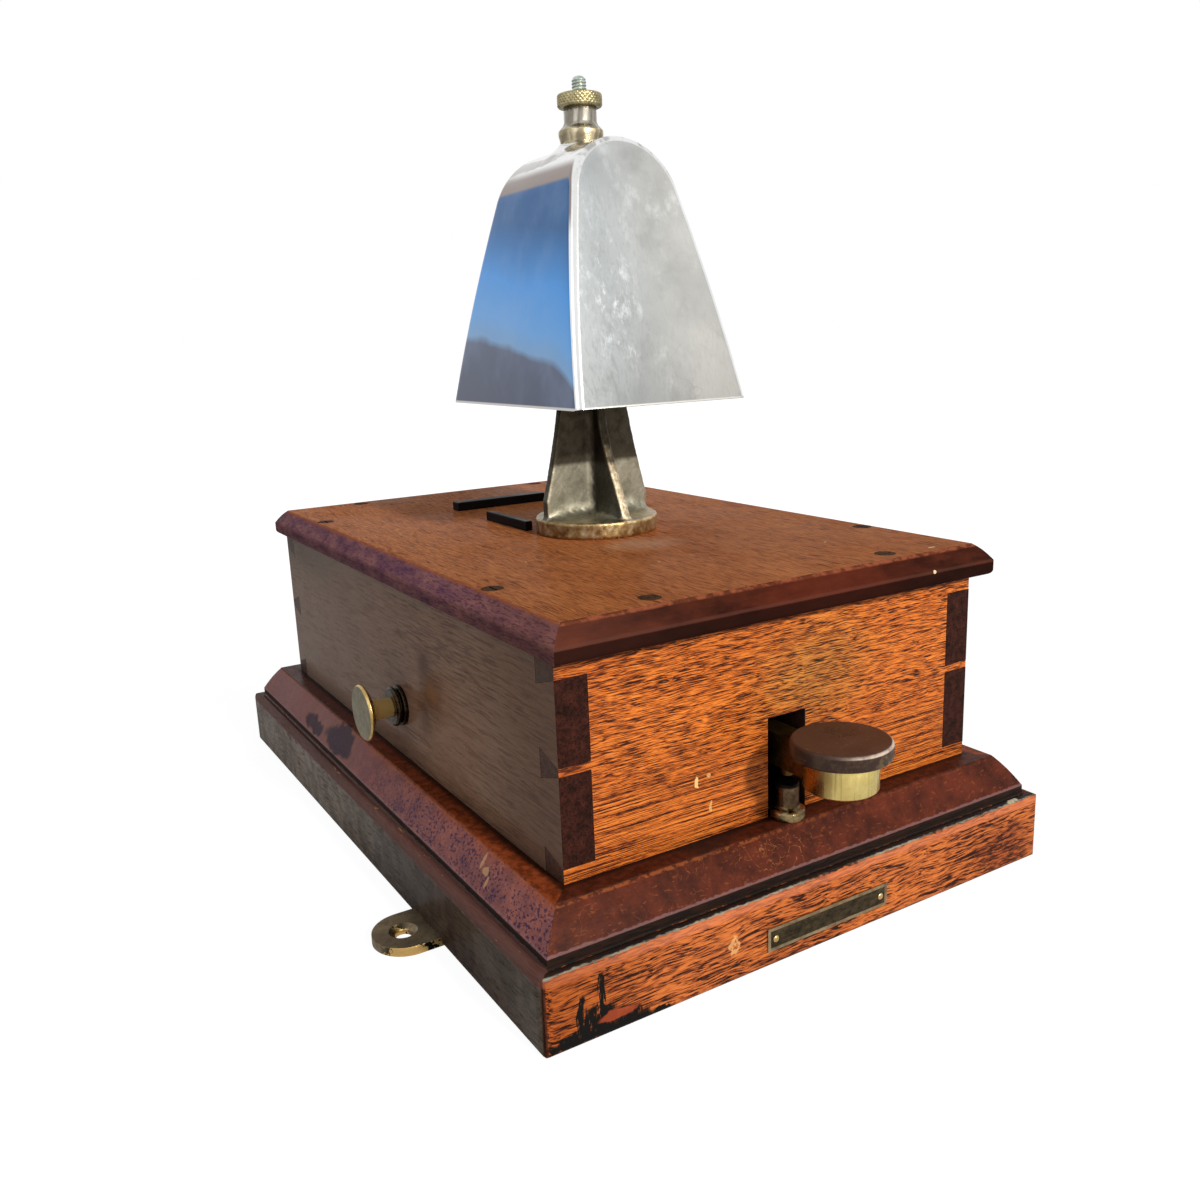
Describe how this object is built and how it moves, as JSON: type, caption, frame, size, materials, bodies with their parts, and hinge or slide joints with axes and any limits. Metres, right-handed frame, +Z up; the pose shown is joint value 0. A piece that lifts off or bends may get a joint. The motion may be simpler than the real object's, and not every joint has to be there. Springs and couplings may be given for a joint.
{
  "type": "railway block bell",
  "caption": "Signal-box block bell: dovetailed mahogany case with a cow-shaped gong on a cast pillar, an electromagnet hammer, a front tapper key and a side plunger.",
  "frame": {"origin": "middle of the underside, under the middle of the case", "axes": "+X to the right of someone working the tapper, +Y to the back, +Z up; the tapper faces -Y"},
  "size_m": [0.2838, 0.3781, 0.3302],
  "materials": {
    "plinth_mahogany": "french polished, dark, worn at the arrises",
    "case_mahogany": "french polished mahogany",
    "lid_mahogany": "french polished, very dark",
    "floor_pine": "planed",
    "small_brass_screws": "dull",
    "plate_brass": "worn, bare",
    "lug_brass": "dark patina with bright worn edges",
    "black_strip": "black lacquered fibre",
    "cast_bronze": "rough sand casting",
    "dark_steel": "blackened",
    "steel_stud": "plain",
    "red_fibre": "red fibre",
    "nickel_gong": "nickel plate, polished, fine scratches",
    "nickel_sleeve": "worn nickel over brass",
    "aged_brass": "dark patina",
    "bright_brass": "polished",
    "lacquered_brass": "lacquered",
    "black_brass": "blackened",
    "soft_iron": "planed",
    "ebonite": "ebonite",
    "ebonite_cap": "dark brown ebonite, handled smooth",
    "green_silk": "silk covered wire",
    "spring_bronze": "drawn wire and strip"
  },
  "bodies": {
    "base": {"front_rail": "plinth_mahogany", "back_rail": "plinth_mahogany", "left_rail": "plinth_mahogany", "right_rail": "plinth_mahogany", "floor_board": "floor_pine", "floor_screws": "small_brass_screws", "case_front": "case_mahogany", "case_back": "case_mahogany", "case_left": "case_mahogany", "case_right": "case_mahogany", "lid": "lid_mahogany", "lid_screws": "small_brass_screws", "plinth_plate": "plate_brass", "plate_pins": "plate_brass", "left_lug": "lug_brass", "right_lug": "lug_brass", "lug_screws": "small_brass_screws", "rear_guide_strip": "black_strip", "side_guide_strips": "black_strip", "bell_pillar": "cast_bronze", "pillar_screws": "dark_steel", "bell_stud": "steel_stud", "seat_washer": "red_fibre", "gong": "nickel_gong", "clamp_sleeve": "nickel_sleeve", "knurled_nut": "aged_brass", "magnet_frame": "lacquered_brass", "frame_screws": "dark_steel", "magnet_yoke": "soft_iron", "magnet_cores": "soft_iron", "coil_bobbins": "ebonite", "coil_windings": "green_silk", "core_screws": "dark_steel", "armature_pin": "steel_stud", "armature_spring": "spring_bronze", "backstop_screw": "lacquered_brass", "stop_pillar": "aged_brass", "key_bracket": "lacquered_brass", "key_pin": "steel_stud", "key_spring": "spring_bronze", "key_spring_post": "lacquered_brass", "rear_contact_post": "lacquered_brass", "plunger_bush": "black_brass", "plunger_nut": "lacquered_brass", "plunger_spring": "spring_bronze", "plunger_bracket": "lacquered_brass", "contact_block": "ebonite", "contact_blades": "spring_bronze", "terminal_block": "ebonite", "terminal_posts": "lacquered_brass", "wire_bush": "ebonite"},
    "tapper": {"tapper_lever": "aged_brass", "tapper_ferrule": "bright_brass", "tapper_cap": "ebonite_cap", "cap_screw": "dark_steel"},
    "hammer": {"armature": "soft_iron", "hammer_rod": "steel_stud", "hammer_ball": "aged_brass"},
    "plunger": {"plunger": "aged_brass", "plunger_collar": "lacquered_brass"}
  },
  "joints": [
    {"name": "tapper_press", "type": "hinge", "parent": "base", "child": "tapper", "pos_m": [0, -0.07, 0.0705], "axis": [1, 0, 0], "range_deg": [0, 2], "stiffness_Nm_per_rad": 1.5, "springref_deg": -11.46, "deforming": ["key_spring"]},
    {"name": "hammer_strike", "type": "hinge", "parent": "base", "child": "hammer", "pos_m": [0.012, 0.012, 0.03], "axis": [-1, 0, 0], "range_deg": [0, 2.6], "stiffness_Nm_per_rad": 0.5, "springref_deg": -6.88, "deforming": ["armature_spring"]},
    {"name": "plunger_push", "type": "slide", "parent": "base", "child": "plunger", "axis": [1, 0, 0], "range_m": [0, 0.006], "stiffness_N_per_m": 300, "springref_m": -0.01, "deforming": ["plunger_spring"]}
  ]
}
